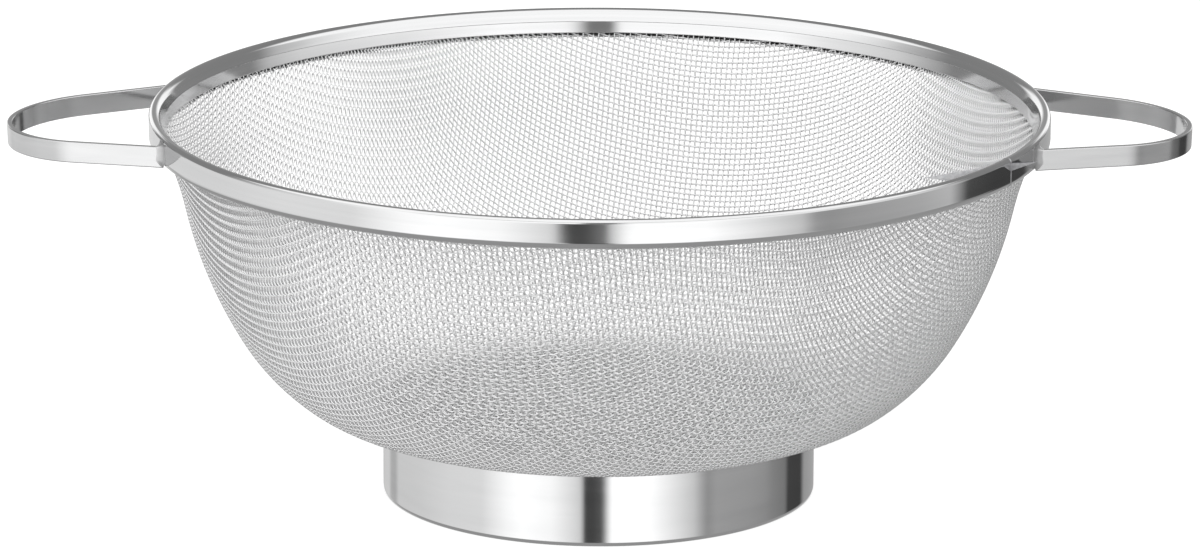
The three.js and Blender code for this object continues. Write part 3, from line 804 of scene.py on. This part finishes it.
# Bearing in degrees from the camera towards +X, then the glow of the foot's ring, the rim's and the high.
PANELS = (
    (-180, 0.46, 0.6, 0.3), (-152, 0.7, 0.78, 0.3), (-147, 0.5, 0.8, 0.3), (-140, 0.5, 0.82, 0.3),
    (-135, 0.75, 0.85, 0.3), (-110, 0.82, 0.9, 0.3), (-87, 0.93, 0.98, 0.85), (-65, 0.97, 0.97, 1.1),
    (-50, 1.36, 1.36, 1.4), (-41, 1.5, 1.45, 1.4), (-25, 1.36, 1.36, 1.4), (-11.5, 0.95, 0.95, 1.4),
    (-9, 0.88, 0.13, 1.4), (-7.2, 0.07, 0.09, 1.4), (-5, 0.07, 0.09, 1.3), (-3.4, 0.07, 0.1, 0.25),
    (1.4, 0.1, 0.25, 0.25), (3, 0.3, 0.85, 0.25), (6.7, 1.5, 1.36, 1.1), (9, 1.5, 1.5, 1.35),
    (27, 1.5, 1.45, 1.4), (52, 0.78, 0.75, 1.12), (56, 0.56, 0.42, 1.08), (60, 0.37, 0.4, 1.08),
    (66, 0.45, 0.44, 1.03), (88, 0.4, 0.54, 0.88), (100, 0.35, 0.65, 0.65), (107, 0.31, 0.08, 0.3),
    (119, 0.25, 0.06, 0.3), (122, 0.07, 0.06, 0.3), (138, 0.06, 0.06, 0.3), (144, 0.38, 0.4, 0.3),
)
# Sine of the elevation, the shares of the three rings in their order above, and the table's or roof's glow.
TIERS = (
    (-1.0, 0, 0, 0, 0.38), (-0.44, 0, 0, 0, 0.38), (-0.34, 1, 0, 0, 0), (-0.272, 1, 0, 0, 0),
    (-0.26, 0, 1, 0, 0), (-0.14, 0, 1, 0, 0), (-0.05, 0, 0, 1, 0), (0.4, 0, 0, 1, 0), (0.5, 0, 0, 0, 1.32),
    (1.0, 0, 0, 0, 1.32),
)
STRENGTH = 1.2
# Sine of the elevation and the strength of the light there, in front.
SEAM_GAP = ((0.38, STRENGTH), (0.42, 0.3), (0.46, 0.3), (0.52, STRENGTH))
SEAM_FRONT = (-0.45, -0.7)
# Place along X and glow of the backdrop.
BACKDROP = (
    (-0.52, 0.28), (-0.4, 1.15), (-0.2, 1.15), (-0.1, 0.34),
    (0.1, 0.34), (0.2, 1.15), (0.4, 1.15), (0.52, 0.28),
)
BACKDROP_ABOVE = 0.28
BACKDROP_STEP = (0.26, 0.36)
BACKDROP_DEPTH = (0.2, 0.42)
BACKDROP_FOOT = (-0.14, -0.02)

world = bpy.data.worlds.new("white_tent")
bpy.context.scene.world = world
world.use_nodes = True
tree = world.node_tree
direction = tree.nodes.new("ShaderNodeSeparateXYZ")
tree.links.new(tree.nodes.new("ShaderNodeTexCoord").outputs["Generated"], direction.inputs["Vector"])


def light_ramp(value, low, high, stops):
    """The node of a colour ramp over a value from low to high, with the colour or grey of each stop."""
    span = tree.nodes.new("ShaderNodeMapRange")
    span.inputs["From Min"].default_value, span.inputs["From Max"].default_value = low, high
    ramp = tree.nodes.new("ShaderNodeValToRGB")
    tree.links.new(value, span.inputs["Value"])
    tree.links.new(span.outputs["Result"], ramp.inputs["Fac"])
    ramp.color_ramp.elements.remove(ramp.color_ramp.elements[-1])
    for index, (start, *colour) in enumerate(stops):
        place = (start - low) / (high - low)
        stop = ramp.color_ramp.elements[0] if index == 0 else ramp.color_ramp.elements.new(place)
        tint = 3 * colour if len(colour) == 1 else colour
        stop.position, stop.color = place, [*tint, 1][:4]
    return ramp


def soft_step(value, edge):
    """Goes smoothly from 0 to 1 as a value goes from the first edge to the second."""
    step = tree.nodes.new("ShaderNodeMapRange")
    step.interpolation_type = "SMOOTHSTEP"
    step.inputs["From Min"].default_value, step.inputs["From Max"].default_value = edge
    tree.links.new(value, step.inputs["Value"])
    return step.outputs["Result"]


def combine(kind, operation, *values):
    """The result of a math node of a kind and operation on values, each of them a socket or a constant."""
    node = tree.nodes.new(kind)
    node.operation = operation
    for socket, value in zip(node.inputs, values):
        if isinstance(value, bpy.types.NodeSocket):
            tree.links.new(value, socket)
        else:
            socket.default_value = value
    return node.outputs["Value"]


def blend(first, second, share):
    """The first colour where the share is 0 and the second where it is 1."""
    node = tree.nodes.new("ShaderNodeMix")
    node.data_type = "RGBA"
    tree.links.new(share, node.inputs["Factor"])
    for name, value in (("A", first), ("B", second)):
        if isinstance(value, bpy.types.NodeSocket):
            tree.links.new(value, node.inputs[name])
        else:
            node.inputs[name].default_value = (value, value, value, 1)
    return node.outputs["Result"]


x, y, z = (direction.outputs[axis] for axis in "XYZ")
bearing = combine("ShaderNodeMath", "ARCTAN2", x, combine("ShaderNodeMath", "MULTIPLY", y, -1))
panels = light_ramp(bearing, -np.pi, np.pi, [(np.radians(turn), *glow) for turn, *glow in PANELS])
tiers = light_ramp(z, -1, 1, TIERS)
rings = combine("ShaderNodeVectorMath", "DOT_PRODUCT", panels.outputs["Color"], tiers.outputs["Color"])
tent = combine("ShaderNodeMath", "ADD", rings, tiers.outputs["Alpha"])
backdrop_low = light_ramp(x, -1, 1, BACKDROP).outputs["Color"]
backdrop = blend(backdrop_low, BACKDROP_ABOVE, soft_step(z, BACKDROP_STEP))
behind = combine("ShaderNodeMath", "MULTIPLY", soft_step(y, BACKDROP_DEPTH), soft_step(z, BACKDROP_FOOT))
seam = blend(STRENGTH, light_ramp(z, -1, 1, SEAM_GAP).outputs["Color"], soft_step(y, SEAM_FRONT))
tree.links.new(blend(tent, backdrop, behind), tree.nodes["Background"].inputs["Color"])
tree.links.new(seam, tree.nodes["Background"].inputs["Strength"])
bpy.context.scene.view_settings.view_transform = "Standard"
